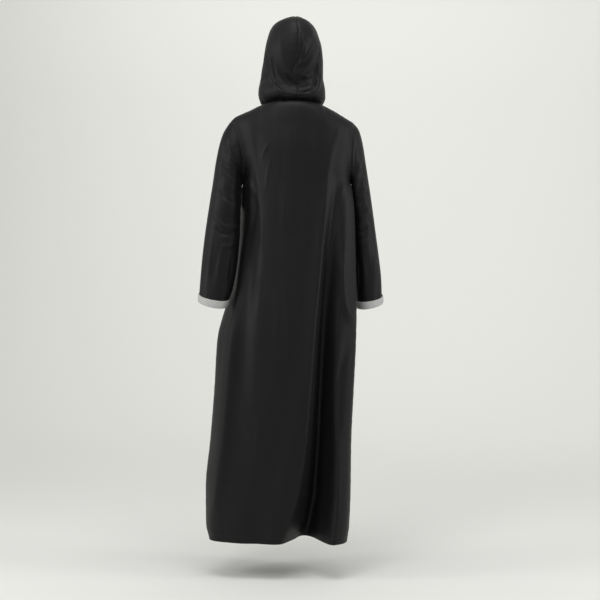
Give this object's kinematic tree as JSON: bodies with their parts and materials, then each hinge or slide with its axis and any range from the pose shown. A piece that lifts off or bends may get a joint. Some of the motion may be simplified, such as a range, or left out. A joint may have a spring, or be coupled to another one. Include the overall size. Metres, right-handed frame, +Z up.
{
  "type": "hooded gandoura",
  "caption": "Long loose black robe with set-in sleeves, a hood worn up and a grey band on each cuff, kept hollow in its worn form.",
  "frame": {"origin": "middle of the neck base, where the wearer holds the robe up", "axes": "+Z up along the wearer's back, the wearer faces -Y, their left hand is on +X"},
  "size_m": [0.6036, 0.3003, 1.6953],
  "materials": {
    "black_cloth": "smooth matt black weave with a faint satin sheen",
    "grey_band": "silver grey woven band with fine diagonal lines"
  },
  "bodies": {
    "root": {"back": "black_cloth", "front": "black_cloth", "sleeve_left": "black_cloth", "sleeve_right": "black_cloth", "cuff_left": "grey_band", "cuff_right": "grey_band", "hood_left": "black_cloth", "hood_right": "black_cloth"}
  },
  "joints": []
}
